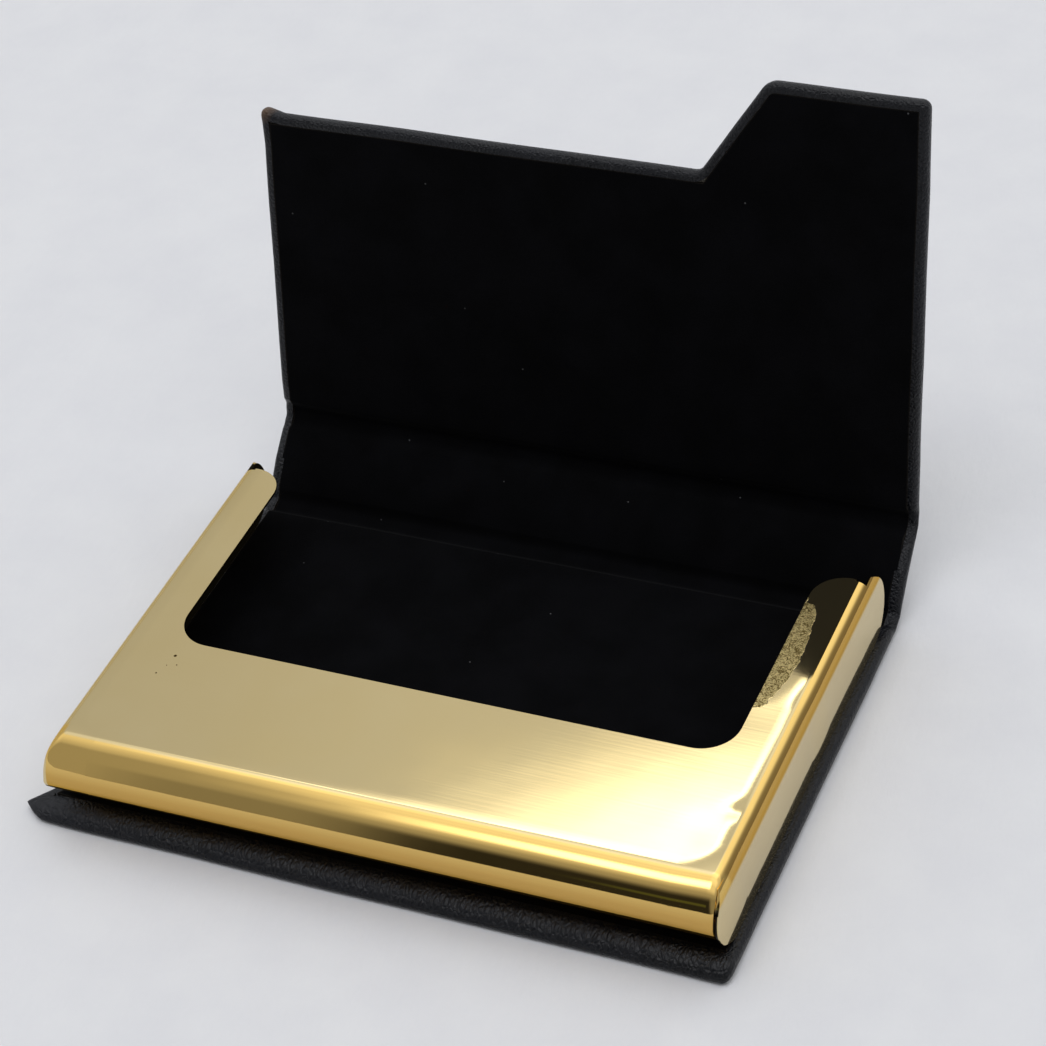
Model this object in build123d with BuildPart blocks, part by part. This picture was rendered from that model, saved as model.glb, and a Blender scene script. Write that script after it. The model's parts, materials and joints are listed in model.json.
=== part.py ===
import os
from math import cos, radians, sin, tan

from build123d import *

os.makedirs("parts", exist_ok=True)

# ---- Driving sizes, mm ----

# Sheets and boards of the cover
leather = 0.6               # imitation leather, outer skin
turned_leather = 0.5        # the same leather, skived where it is turned over an edge
board = 1.3                 # grey board inside each panel
lining = 0.4                # velvet glued over the inner face
turn_in = 1.6               # turned leather left showing around the lining
lining_gap = 0.1            # between the lining's cut edge and the turned leather
board_play = 0.05           # air around a board inside its leather
edge_radius = 0.8           # leather rounded over a board's edge
hinge_edge_radius = 0.35    # leather rounded where it is only folded on itself
corner_radius = 1.2         # corners of the panels, seen flat

# Card tray, one folded sheet of steel
sheet = 0.4
card_width = 90.0
card_side_play = 0.6
wall_height = 10.7          # side walls, from the turned leather to the top
tray_depth = 62.8           # front roll to the tips of the side walls
front_plate = 23.6          # from the roll's front to the window
arm_width = 6.9
arm_setback = 4.4           # arms' ends to the side walls' tips
arm_end_flat = 0.5          # straight part of an arm's end, beside its rounding
window_radius = 5.0
side_bend = 1.0             # outer radius of the bend between an arm and its wall
bend_relief = 1.0           # bend stops this far short of the plate at either end
roll_end_gap = 0.5          # slot between the roll and each side wall
bottom_flange = 22.0        # from the roll's front to the flange's hidden rear edge
tape = 1.0                  # foam tape under the bottom flange
tape_margin = 1.5           # tape kept back from the flange's edges

# Case
side_margin = 1.3           # leather base outside each side wall
tray_overhang = 0.9         # roll stands this far in front of the base
hinge_gap = 5.4             # bare leather between two boards
hinge_axis_depth = 0.9      # pivot line, inside the leather's middle
spine_clearance = 0.25      # shut spine to the side walls' tips
lid_clearance = 0.35        # shut cover's lining to the tray
bare_strip = 18.2           # tray left showing in front of the shut cover
tab_setback = 4.8           # tray's front to the shut tab's end
tab_width = 21.4            # tab's outer end, to the cover's side
tab_slant = 9.3             # the tab widens by this towards its foot
tab_foot_radius = 0.8
magnet_diameter = 9.0
magnet_height = 1.2
magnet_play = 0.2
magnet_side = 11.5          # magnet's centre from the cover's side
magnet_back = 6.6           # and from the tab's end

# The pose in which the case is kept: stood open on its base
spine_angle = 44.5          # spine above the table
cover_angle = 77.0          # cover above the table

# ---- Sizes that follow ----

board_top = leather + board
lining_top = board_top + lining
lip_top = board_top + turned_leather
lining_inset = turn_in + lining_gap
half_hinge = hinge_gap / 2
axis_height = leather / 2 + hinge_axis_depth

tray_width = card_width + 2 * card_side_play + 2 * sheet
tray_top = lip_top + wall_height
case_width = tray_width + 2 * side_margin
base_depth = tray_depth - tray_overhang + spine_clearance + lip_top - axis_height - half_hinge
base_back = base_depth / 2
tray_front = -base_depth / 2 - tray_overhang
axis_distance = tray_top + lid_clearance + lining_top - 2 * axis_height
spine_width = axis_distance - hinge_gap
cover_length = base_back - tray_front - bare_strip
tab_length = base_back - tray_front - tab_setback
tab_head_x = case_width / 2 - tab_width
tab_foot_x = tab_head_x - tab_slant
far = 2 * case_width        # larger than any panel


# ---- Where the panels stand ----
def along_panel(start, angle, along, inwards):
    """Point this far along a panel that leans at this angle, and this far inside its outer face."""
    a = radians(angle)
    y = start[0] + along * cos(a) - inwards * sin(a)
    z = start[1] + along * sin(a) + inwards * cos(a)
    return y, z


def panel_plane(start, angle):
    """Outer face of a panel: local x across it, local y away from the base, local z inwards."""
    a = radians(angle)
    return Plane(origin=(0, *start), x_dir=(1, 0, 0), z_dir=(0, -sin(a), cos(a)))


lower_axis = (base_back + half_hinge, axis_height)
upper_axis = along_panel(lower_axis, spine_angle, axis_distance, 0)
base_end = (base_back, 0)
spine_start = along_panel(lower_axis, spine_angle, half_hinge, -axis_height)
spine_end = along_panel(spine_start, spine_angle, spine_width, 0)
cover_start = along_panel(upper_axis, cover_angle, half_hinge, -axis_height)

base_plane = panel_plane(base_end, 0)
spine_plane = panel_plane(spine_start, spine_angle)
spine_end_plane = panel_plane(spine_end, spine_angle)
cover_plane = panel_plane(cover_start, cover_angle)


# ---- Outlines of the panels, seen flat: inset from the free edges, short of the hinge lines ----
def base_outline(inset=0.0, short=0.0):
    with BuildSketch() as outline:
        with Locations((0, -base_depth)):
            Rectangle(case_width, base_depth + far, align=(Align.CENTER, Align.MIN))
        fillet(outline.vertices(), corner_radius)
        if inset:
            offset(amount=-inset, kind=Kind.INTERSECTION)
        with Locations((0, -short)):
            Rectangle(far, far, align=(Align.CENTER, Align.MAX), mode=Mode.INTERSECT)
    return outline.sketch


def spine_outline(inset=0.0, short=0.0):
    with BuildSketch() as outline:
        with Locations((0, spine_width / 2)):
            Rectangle(case_width - 2 * inset, spine_width - 2 * short)
    return outline.sketch


def cover_outline(inset=0.0, short=0.0):
    side = case_width / 2
    with BuildSketch() as outline:
        with BuildLine():
            Polyline(
                (-side, -far),
                (side, -far),
                (side, tab_length),
                (tab_head_x, tab_length),
                (tab_foot_x, cover_length),
                (-side, cover_length),
                close=True,
            )
        make_face()
        foot = outline.vertices().sort_by_distance((tab_foot_x, cover_length))[0]
        fillet(foot, tab_foot_radius)
        corners = ((side, tab_length), (tab_head_x, tab_length), (-side, cover_length))
        fillet([outline.vertices().sort_by_distance(c)[0] for c in corners], corner_radius)
        if inset:
            offset(amount=-inset, kind=Kind.INTERSECTION)
        with Locations((0, short)):
            Rectangle(far, far, align=(Align.CENTER, Align.MIN), mode=Mode.INTERSECT)
    return outline.sketch


def wrapped_leather(plane, outline, hinge_lines):
    """Leather under a board, up its free edges and turned in over them; open at the hinge lines."""
    with BuildPart() as skin:
        with BuildSketch(plane):
            add(outline())
        extrude(amount=lip_top)
        rim = []
        for edge in skin.edges():
            middle = plane.to_local_coords(edge.center())
            level = abs(middle.Z) < 1e-6 or abs(middle.Z - lip_top) < 1e-6
            at_hinge = any(abs(middle.Y - line) < 1e-6 for line in hinge_lines)
            if level and not at_hinge:
                rim.append(edge)
        fillet(rim, edge_radius)
        with BuildSketch(plane.offset(leather)):
            add(outline(inset=leather))
        extrude(amount=board, mode=Mode.SUBTRACT)
        with BuildSketch(plane.offset(board_top)):
            add(outline(inset=turn_in))
        extrude(amount=turned_leather, mode=Mode.SUBTRACT)
    return skin.part


def glued_lining(plane, outline, end_planes):
    """Velvet over a board's inner face, and down its ends at the hinge lines to the leather."""
    with BuildPart() as velvet:
        with BuildSketch(plane.offset(board_top)):
            add(outline(inset=lining_inset))
        extrude(amount=lining)
        for end_plane, inwards in end_planes:
            with BuildSketch(end_plane.offset(leather)):
                with Locations((0, inwards * lining / 2)):
                    Rectangle(case_width - 2 * lining_inset, lining)
            extrude(amount=board)
    return velvet.part


def hinge_section(start, angle):
    """Plane across the leather at a hinge line: local x along the hinge, local y inwards."""
    a = radians(angle)
    return Plane(origin=(0, *start), x_dir=(1, 0, 0), z_dir=(0, -cos(a), -sin(a)))


def hinge_centre(start, angle, bend):
    """Axis about which the leather is rolled when the hinge stands at this bend."""
    depth = axis_height + half_hinge / tan(radians(bend) / 2)
    return Axis(origin=(0, *along_panel(start, angle, 0, depth)), direction=(1, 0, 0))


def rolled_leather(start, angle, bend):
    """Bare leather of one hinge, rolled through its bend, doubled where the edges are turned in."""
    with BuildPart() as strip:
        with BuildSketch(hinge_section(start, angle)) as section:
            Rectangle(case_width, leather + turned_leather, align=(Align.CENTER, Align.MIN))
            fillet(section.vertices(), hinge_edge_radius)
            with Locations((0, leather)):
                Rectangle(
                    case_width - 2 * turn_in, board, align=(Align.CENTER, Align.MIN), mode=Mode.SUBTRACT
                )
        revolve(axis=hinge_centre(start, angle, bend), revolution_arc=bend)
    return strip.part


def rolled_lining(start, angle, bend):
    """Velvet laid in the groove of one hinge, on the leather."""
    with BuildPart() as strip:
        with BuildSketch(hinge_section(start, angle)):
            with Locations((0, leather)):
                Rectangle(case_width - 2 * lining_inset, lining, align=(Align.CENTER, Align.MIN))
        revolve(axis=hinge_centre(start, angle, bend), revolution_arc=bend)
    return strip.part


# ---- Base: leather, board and lining ----
with BuildPart() as base_skin:
    add(wrapped_leather(base_plane, base_outline, (0,)))

with BuildPart() as base_board:
    with BuildSketch(base_plane.offset(leather)):
        add(base_outline(inset=leather + board_play, short=lining))
    extrude(amount=board)

with BuildPart() as base_lining:
    add(glued_lining(base_plane, base_outline, ((base_plane, -1),)))

# ---- Spine ----
with BuildPart() as spine_skin:
    add(wrapped_leather(spine_plane, spine_outline, (0, spine_width)))

with BuildPart() as spine_board:
    with BuildSketch(spine_plane.offset(leather)):
        add(spine_outline(inset=leather + board_play, short=lining))
    extrude(amount=board)

with BuildPart() as spine_lining:
    add(glued_lining(spine_plane, spine_outline, ((spine_plane, 1), (spine_end_plane, -1))))

# ---- Cover, with the magnet let into the board of its tab ----
magnet_place = (case_width / 2 - magnet_side, tab_length - magnet_back)

with BuildPart() as cover_skin:
    add(wrapped_leather(cover_plane, cover_outline, (0,)))

with BuildPart() as cover_board:
    with BuildSketch(cover_plane.offset(leather)):
        add(cover_outline(inset=leather + board_play, short=lining))
        with Locations(magnet_place):
            Circle(magnet_diameter / 2 + magnet_play, mode=Mode.SUBTRACT)
    extrude(amount=board)

with BuildPart() as cover_magnet:
    with BuildSketch(cover_plane.offset(board_top)):
        with Locations(magnet_place):
            Circle(magnet_diameter / 2)
    extrude(amount=-magnet_height)

with BuildPart() as cover_lining:
    add(glued_lining(cover_plane, cover_outline, ((cover_plane, 1),)))

# ---- Hinges: the same leather and velvet, bare of board ----
upper_bend = cover_angle - spine_angle

with BuildPart() as lower_hinge_skin:
    add(rolled_leather(base_end, 0, spine_angle))

with BuildPart() as lower_hinge_lining:
    add(rolled_lining(base_end, 0, spine_angle))

with BuildPart() as upper_hinge_skin:
    add(rolled_leather(spine_end, spine_angle, upper_bend))

with BuildPart() as upper_hinge_lining:
    add(rolled_lining(spine_end, spine_angle, upper_bend))

# ---- Card tray ----
flange_bottom = lining_top + tape
roll_radius = (tray_top - flange_bottom) / 2
roll_y = tray_front + roll_radius
roll_z = tray_top - roll_radius
roll_length = tray_width - 2 * (sheet + roll_end_gap)
bend_start = roll_y + bend_relief
arm_end = tray_front + tray_depth - arm_setback
arm_end_radius = arm_width - side_bend - arm_end_flat
bend_length = arm_end - bend_relief - bend_start
window_width = tray_width - 2 * arm_width
plate_width = tray_width - 2 * side_bend
flange_end = tray_front + bottom_flange

with BuildPart() as card_tray:
    # the front roll, a half turn from the top plate to the flange on the tape
    with BuildSketch(Plane.YZ):
        with BuildLine():
            outer = CenterArc((roll_y, roll_z), roll_radius, 90, 180)
            inner = CenterArc((roll_y, roll_z), roll_radius - sheet, 90, 180)
            Polyline(outer @ 0, (bend_start, tray_top), (bend_start, tray_top - sheet), inner @ 0)
            Polyline(
                outer @ 1, (flange_end, flange_bottom), (flange_end, flange_bottom + sheet), inner @ 1
            )
        make_face()
    extrude(amount=roll_length / 2, both=True)

    # the top plate, with its window open at the back between two arms
    with BuildSketch(Plane.XY.offset(tray_top - sheet)) as plate:
        with Locations((0, bend_start)):
            Rectangle(plate_width, arm_end - bend_start, align=(Align.CENTER, Align.MIN))
        with Locations((0, tray_front + front_plate)):
            Rectangle(window_width, far, align=(Align.CENTER, Align.MIN), mode=Mode.SUBTRACT)
        inner_corners = plate.vertices().filter_by(lambda v: abs(v.X) < plate_width / 2 - sheet)
        fillet(inner_corners.group_by(Axis.Y)[0], window_radius)
        arm_corners = plate.vertices().filter_by(
            lambda v: abs(v.X) < plate_width / 2 - sheet and v.Y > arm_end - sheet
        )
        fillet(arm_corners, arm_end_radius)
    extrude(amount=sheet)

    # a side wall with rounded ends, and the bend that joins it to its arm
    with BuildSketch(Plane.YZ.offset(tray_width / 2 - sheet)):
        with Locations((tray_front + tray_depth / 2, lip_top + wall_height / 2)):
            SlotOverall(tray_depth, wall_height)
        with Locations((0, tray_top - side_bend)):
            Rectangle(far, far, align=(Align.CENTER, Align.MIN), mode=Mode.SUBTRACT)
    extrude(amount=sheet)
    with BuildSketch(Plane.XZ.offset(-bend_start)):
        with Locations((tray_width / 2 - side_bend, tray_top - side_bend)):
            Circle(side_bend)
            Circle(side_bend - sheet, mode=Mode.SUBTRACT)
            Rectangle(far, far, align=(Align.MIN, Align.MIN), mode=Mode.INTERSECT)
    extrude(amount=-bend_length)
    mirror(about=Plane.YZ)

with BuildPart() as tray_tape:
    with BuildSketch(Plane.XY.offset(lining_top)):
        with Locations((0, roll_y)):
            Rectangle(
                roll_length - 2 * tape_margin,
                flange_end - tape_margin - roll_y,
                align=(Align.CENTER, Align.MIN),
            )
    extrude(amount=tape)

# ---- Export ----
pieces = {
    "card_tray": card_tray,
    "tray_tape": tray_tape,
    "base_skin": base_skin,
    "base_board": base_board,
    "base_lining": base_lining,
    "lower_hinge_skin": lower_hinge_skin,
    "lower_hinge_lining": lower_hinge_lining,
    "spine_skin": spine_skin,
    "spine_board": spine_board,
    "spine_lining": spine_lining,
    "upper_hinge_skin": upper_hinge_skin,
    "upper_hinge_lining": upper_hinge_lining,
    "cover_skin": cover_skin,
    "cover_board": cover_board,
    "cover_magnet": cover_magnet,
    "cover_lining": cover_lining,
}
for name, piece in pieces.items():
    piece.part.label = name
    export_step(piece.part, f"parts/{name}.step")

print("case, shut:", case_width, "x", round(base_depth + tray_overhang, 2), "high", round(tray_top, 2))
print("lower axis:", [round(v, 3) for v in lower_axis], "upper axis:", [round(v, 3) for v in upper_axis])
print("spine width:", round(spine_width, 3), "cover:", round(cover_length, 2), round(tab_length, 2))
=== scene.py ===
import bmesh
import bpy
import json
from functools import partial
from math import atan2, cos, exp, pi, radians, sin, sqrt, tan
from mathutils import Euler, Matrix, Vector, noise


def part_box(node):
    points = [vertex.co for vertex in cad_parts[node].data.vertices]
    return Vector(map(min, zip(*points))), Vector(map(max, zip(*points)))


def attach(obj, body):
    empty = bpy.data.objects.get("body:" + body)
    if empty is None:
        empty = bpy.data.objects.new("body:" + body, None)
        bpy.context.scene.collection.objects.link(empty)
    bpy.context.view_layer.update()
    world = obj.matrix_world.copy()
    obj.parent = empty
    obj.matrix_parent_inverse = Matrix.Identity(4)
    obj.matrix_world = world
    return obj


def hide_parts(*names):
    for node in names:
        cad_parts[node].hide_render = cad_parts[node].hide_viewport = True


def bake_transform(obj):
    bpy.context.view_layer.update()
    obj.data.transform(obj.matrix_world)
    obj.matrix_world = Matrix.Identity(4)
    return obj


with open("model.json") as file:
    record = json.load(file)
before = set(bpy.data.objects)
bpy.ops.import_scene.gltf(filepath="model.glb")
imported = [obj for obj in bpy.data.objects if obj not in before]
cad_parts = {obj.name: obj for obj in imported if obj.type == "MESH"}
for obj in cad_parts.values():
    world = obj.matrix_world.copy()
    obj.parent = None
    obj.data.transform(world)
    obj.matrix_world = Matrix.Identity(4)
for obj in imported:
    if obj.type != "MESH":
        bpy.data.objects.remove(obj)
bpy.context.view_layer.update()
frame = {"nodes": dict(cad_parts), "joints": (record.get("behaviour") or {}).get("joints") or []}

mm = 0.001
touching = 0.001 * mm  # places nearer to each other than this count as one
scene = bpy.context.scene
scene.view_settings.view_transform = "Standard"


# from an sRGB hex value to linear light
def hexColour(code, strength=1.0):
    channels = [int(code[i:i + 2], 16) / 255 for i in (0, 2, 4)]
    linear = [c / 12.92 if c <= 0.04045 else ((c + 0.055) / 1.055) ** 2.4 for c in channels]
    return (*[c * strength for c in linear], 1.0)


# adds a shader node, sets or links its sockets and, where stops are given, sets its colour ramp; a string
# is a hex colour
def addNode(owner, kind, sockets=None, stops=(), **settings):
    made = owner.node_tree.nodes.new("ShaderNode" + kind)
    for name, value in settings.items():
        setattr(made, name, value)
    for name, value in (sockets or {}).items():
        if isinstance(value, bpy.types.NodeSocket):
            owner.node_tree.links.new(value, made.inputs[name])
        else:
            made.inputs[name].default_value = hexColour(value) if isinstance(value, str) else value
    for index, (place, shade) in enumerate(stops):
        elements = made.color_ramp.elements
        stop = elements[index] if index < 2 else elements.new(place)
        stop.position = place
        stop.color = hexColour(shade) if isinstance(shade, str) else (shade, shade, shade, 1)
    return made


def newMaterial(name):
    material = bpy.data.materials.new(name)
    material.use_nodes = True
    material.node_tree.nodes.clear()
    return material, partial(addNode, material)


def finishMaterial(material, shaderSockets, **shaderSettings):
    shader = addNode(material, "BsdfPrincipled", shaderSockets, **shaderSettings)
    addNode(material, "OutputMaterial", {"Surface": shader.outputs[0]})
    return material


def smoothStep(low, high, value):
    t = min(1.0, max(0.0, (value - low) / (high - low)))
    return t * t * (3 - 2 * t)


# leaves edit mode, if it is on, with nothing selected
def deselectAll():
    if bpy.context.object and bpy.context.object.mode == "EDIT":
        bpy.ops.object.mode_set(mode="OBJECT")
    bpy.ops.object.select_all(action="DESELECT")


def addPlane(low, high, height, name=None):
    if name:
        deselectAll()
    middle = ((low[0] + high[0]) / 2, (low[1] + high[1]) / 2, height)
    bpy.ops.mesh.primitive_plane_add(size=1, location=middle)
    if name:
        bpy.context.object.name = name
        bpy.context.object.data.name = name
        bpy.ops.object.transform_apply(location=True)
        bpy.ops.object.mode_set(mode="EDIT")
    bpy.ops.transform.resize(
        value=(high[0] - low[0], high[1] - low[1], 1), center_override=middle
    )
    return bpy.context.object


# selects only what passes the test, which is given each vertex, edge or face
def pick(kind, test):
    bpy.ops.mesh.select_mode(type=kind)
    bpy.ops.mesh.select_all(action="DESELECT")
    shape = bmesh.from_edit_mesh(bpy.context.object.data)
    parts = {"VERT": shape.verts, "EDGE": shape.edges, "FACE": shape.faces}[kind]
    for part in parts:
        if test(part):
            part.select_set(True)
    shape.select_flush_mode()
    bmesh.update_edit_mesh(bpy.context.object.data)


def middleOf(edge):
    return (edge.verts[0].co + edge.verts[1].co) / 2


# points nearer to the plane than the given distance are taken to lie on it
def cutAt(axis, places, near=0.1 * mm):
    normal = Vector([float(axis == i) for i in range(3)])
    for place in places:
        bpy.ops.mesh.select_all(action="SELECT")
        bpy.ops.mesh.bisect(plane_co=normal * place, plane_no=normal, threshold=near)


def evenPlaces(low, high, step):
    count = max(1, round((high - low) / step))
    return [low + (high - low) * i / count for i in range(count + 1)]


def leaveEditMode():
    bpy.ops.object.mode_set(mode="OBJECT")
    bpy.ops.object.transform_apply(location=True, rotation=True, scale=True)


def applyModifier(piece, kind, **settings):
    modifier = piece.modifiers.new(kind.title(), kind)
    for name, value in settings.items():
        setattr(modifier, name, value)
    bpy.context.view_layer.objects.active = piece
    bpy.ops.object.modifier_apply(modifier=modifier.name)


def choose(piece):
    deselectAll()
    piece.select_set(True)
    bpy.context.view_layer.objects.active = piece


def smoothShading(piece, angle):
    choose(piece)
    bpy.ops.object.shade_smooth_by_angle(angle=radians(angle))


def giveMaterial(piece, material):
    piece.data.materials.clear()
    piece.data.materials.append(material)


# lengths in mm, angles in degrees
cameraView = {
    "place": (152.40, -255.13, 282.69), "turn": 28.879, "height": 40.003, "roll": -9.021,
    "lens": 107.26, "sensor": 36, "nearest": 10,
}


def placeCamera():
    facing = Euler((radians(90 - cameraView["height"]), 0, radians(cameraView["turn"]))).to_matrix()
    facing = facing @ Matrix.Rotation(radians(cameraView["roll"]), 3, "Z")
    deselectAll()
    bpy.ops.object.camera_add(location=Vector(cameraView["place"]) * mm, rotation=facing.to_euler())
    camera = bpy.context.object
    camera.data.lens = cameraView["lens"]
    camera.data.sensor_width = cameraView["sensor"]
    camera.data.clip_start = cameraView["nearest"] * mm
    scene.camera = camera


placeCamera()

# table top, in mm
tableTop = {"reach": 1500, "colour": ("DDDDDF", "E1E1E2"), "fibre": 0.9, "mottle": 14.0, "relief": 0.07}


def tableMaterial():
    # heavy white paper: matt, faintly mottled, with short pressed fibres that only just break up the light
    material, add = newMaterial("matt_fibrous_paper")
    place = add("TexCoord").outputs["Object"]
    mottle = add("TexNoise", {
        "Vector": place, "Scale": 1 / (tableTop["mottle"] * mm), "Detail": 5, "Roughness": 0.6,
    })
    tone = add("ValToRGB", {"Fac": mottle.outputs["Fac"]}, stops=zip((0.35, 0.65), tableTop["colour"]))
    streaks = add("Mapping", {"Vector": place, "Scale": (1, 0.35, 1)})
    fibres = add("TexNoise", {
        "Vector": streaks.outputs[0], "Scale": 1 / (tableTop["fibre"] * mm), "Detail": 4,
    })
    bump = add("Bump", {"Height": fibres.outputs["Fac"], "Distance": tableTop["relief"] * mm})
    return finishMaterial(material, {
        "Base Color": tone.outputs[0], "Roughness": 0.7, "Specular IOR Level": 0.25,
        "Normal": bump.outputs[0],
    })


def layTable():
    reach = tableTop["reach"] * mm
    floor = addPlane((-reach, -reach), (reach, reach), 0, "table_top")
    leaveEditMode()
    giveMaterial(floor, tableMaterial())


layTable()

# What stands around the case, as directions: across is the x part of a direction, turn is the angle up
# from the back horizon, over the top and down to the front one, in degrees. Each has a soft edge.
wallLight = {"colour": "F6F8FC", "strength": 0.64}
shades = {
    "dim front": {"across": (-1.5, 1.5), "blur": (0.1, 0.1), "turn": (98, 200), "fade": (10, 4), "keep": 0.7},
    "low front": {
        "across": (-0.456, 1.2), "blur": (0.03, 0.1), "turn": (137, 184), "fade": (14, 2), "keep": 0.68,
    },
    "dark front": {
        "across": (-0.384, 0.42), "blur": (0.05, 0.3), "turn": (141, 184), "fade": (18, 2), "keep": 0.1,
    },
    "dim right": {
        "across": (0.56, 1.2), "blur": (0.24, 0.1), "turn": (-12, 80), "fade": (4, 30), "keep": 0.5,
    },
}
# a lean moves the lamp's sides along across for each degree of turn from where it starts
lamps = {
    "window": {
        "across": (-0.335, -0.262), "blur": (0.11, 0.02), "turn": (47.0, 54), "fade": (3.6, 3),
        "lean": 0.022, "leanFrom": 49.4, "colour": "FFFDF8", "strength": 3.6,
    },
    "pale back": {
        "across": (-0.43, -0.1), "blur": (0.16, 0.2), "turn": (34, 60), "fade": (10, 8),
        "colour": "FFFFFA", "strength": 0.15,
    },
    "shelf": {
        "across": (-0.46, 0.5), "blur": (0.06, 0.2), "turn": (60, 75), "fade": (8, 8),
        "colour": "F2F6FF", "strength": 0.55,
    },
    "lamp row": {
        "across": (-0.357, 0.2), "blur": (0.1, 0.2), "turn": (94, 112), "fade": (12, 12),
        "colour": "F6F8FF", "strength": 3.2,
    },
    "ceiling": {
        "across": (-0.9, 0.9), "blur": (0.2, 0.3), "turn": (54, 84), "fade": (7, 30),
        "colour": "FFFFFF", "strength": 0.38,
    },
    "front ceiling": {
        "across": (-0.41, 0.7), "blur": (0.09, 0.2), "turn": (77, 122), "fade": (14, 18),
        "colour": "FFFFFF", "strength": 0.45,
    },
    "pale side": {
        "across": (-0.17, 0.62), "blur": (0.08, 0.3), "turn": (40, 62), "fade": (20, 20),
        "colour": "FFFFFF", "strength": 0.5,
    },
    "right ceiling": {
        "across": (0.0, 0.8), "blur": (0.3, 0.3), "turn": (35, 120), "fade": (30, 30),
        "colour": "FFFFFF", "strength": 0.16,
    },
    "green strip": {
        "across": (-0.31, 0.1), "blur": (0.03, 0.1), "turn": (158, 164), "fade": (4, 4),
        "colour": "D8F080", "strength": 0.09,
    },
}


def lightRoom():
    world = bpy.data.worlds.new("room")
    scene.world = world
    world.use_nodes = True
    world.node_tree.nodes.clear()
    add = partial(addNode, world)
    way = add("TexCoord").outputs["Generated"]
    parts = add("SeparateXYZ", {"Vector": way})
    angle = add("Math", {0: parts.outputs["Z"], 1: parts.outputs["Y"]}, operation="ARCTAN2")
    turn = add("Math", {0: angle.outputs[0], 1: 180 / pi}, operation="MULTIPLY").outputs[0]

    # 1 inside the item, 0 outside
    def share(item):
        total = 1.0
        across = parts.outputs["X"]
        if "lean" in item:
            moved = add("Math", {
                0: turn, 1: item["lean"], 2: -item["leanFrom"] * item["lean"],
            }, operation="MULTIPLY_ADD").outputs[0]
            across = add("Math", {0: across, 1: moved}, operation="ADD").outputs[0]
        for value, ends, soft in ((across, item["across"], item["blur"]), (turn, item["turn"], item["fade"])):
            for end, blur, outside in zip(ends, soft, (0, 1)):
                edge = add("MapRange", {
                    "Value": value, "From Min": end - blur / 2, "From Max": end + blur / 2,
                    "To Min": outside, "To Max": 1 - outside,
                }, interpolation_type="SMOOTHSTEP")
                total = add("Math", {0: total, 1: edge.outputs[0]}, operation="MULTIPLY").outputs[0]
        return total

    total = add("RGB").outputs[0]
    total.default_value = hexColour(wallLight["colour"], wallLight["strength"])
    for item in shades.values():
        kept = add("MapRange", {"Value": share(item), "To Min": 1, "To Max": item["keep"]})
        total = add("VectorMath", {0: total, 1: kept.outputs[0]}, operation="MULTIPLY").outputs[0]
    for item in lamps.values():
        glow = add("VectorMath", {
            0: hexColour(item["colour"], item["strength"])[:3], 1: share(item),
        }, operation="MULTIPLY")
        total = add("VectorMath", {0: total, 1: glow.outputs[0]}, operation="ADD").outputs[0]
    background = add("Background", {"Color": total})
    add("OutputWorld", {"Surface": background.outputs[0]})


lightRoom()
print("camera, table and light are set")

# Leather and velvet are worked out flat, in mm: x across the case, y along the outer face from the base's
# hinge line, z inwards. Past the cover's edge only the tab goes on and leaves besideTab of the width free.
caseSizes = {
    "lipInHinge": 1.35, "liningInHinge": 1.0, "dip": 2.2, "lead": 0.8, "cornerRadius": 1.2,
    "rimRadius": 0.8, "footRimRadius": 1.2, "turnIn": {"lower": 1.6, "upper": 1.25},
    "tabWidth": 21.4, "tabSlant": 9.3, "footRadius": 0.8,
    "leather": 0.45, "lining": 0.35, "liningGap": 0.03, "edgeStrip": 0.2, "besideTab": 0.75,
    "leatherStep": 3.0, "liningStep": 1.5, "hingeStep": 0.4, "stepMargin": 3.0,
}
lowerJoint, upperJoint = frame["joints"]
baseLow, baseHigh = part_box("base_skin")
side = baseHigh.x
hingeLine = baseHigh.y
baseDepth = baseHigh.y - baseLow.y
lipTop = baseHigh.z
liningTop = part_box("base_lining")[1].z
axisLow = Vector(lowerJoint["pos_m"])
axisHigh = Vector(upperJoint["pos_m"])
halfHinge = axisLow.y - hingeLine
bends = [radians(-joint["range_deg"][0]) for joint in (lowerJoint, upperJoint)]
rolls = [(axisLow.z + halfHinge / tan(bend / 2)) * bend for bend in bends]
spineWidth = (axisHigh - axisLow).length - 2 * halfHinge
stretches = ((rolls[0], bends[0]), (spineWidth, 0), (rolls[1], bends[1]), (1, 0))
middleOfSpine = rolls[0] + spineWidth / 2
coverLine = rolls[0] + spineWidth + rolls[1]


# where a flat place comes when the case is folded
def folded(along, inwards):
    y, z, lean = hingeLine, 0.0, 0.0
    if along < 0:
        return y + along, inwards
    for length, bend in stretches:
        step = min(along, length)
        if bend:
            radius = length / bend
            turned = step / radius
            y += radius * (sin(lean + turned) - sin(lean))
            z += radius * (cos(lean) - cos(lean + turned))
            lean += turned
        else:
            y += step * cos(lean)
            z += step * sin(lean)
        along -= step
        if along <= 0:
            break
    return y - inwards * sin(lean), z + inwards * cos(lean)


# from 0 on a panel to 1 in the groove of a hinge; the leather's turn starts a little before the hinge
def inHinge(along, lead=0.0):
    dip = caseSizes["dip"] * mm
    depth = 0.0
    for start, end in ((0, rolls[0]), (coverLine - rolls[1], coverLine)):
        depth += smoothStep(start - lead, start + dip, along) - smoothStep(end - dip, end + lead, along)
    return depth


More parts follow.
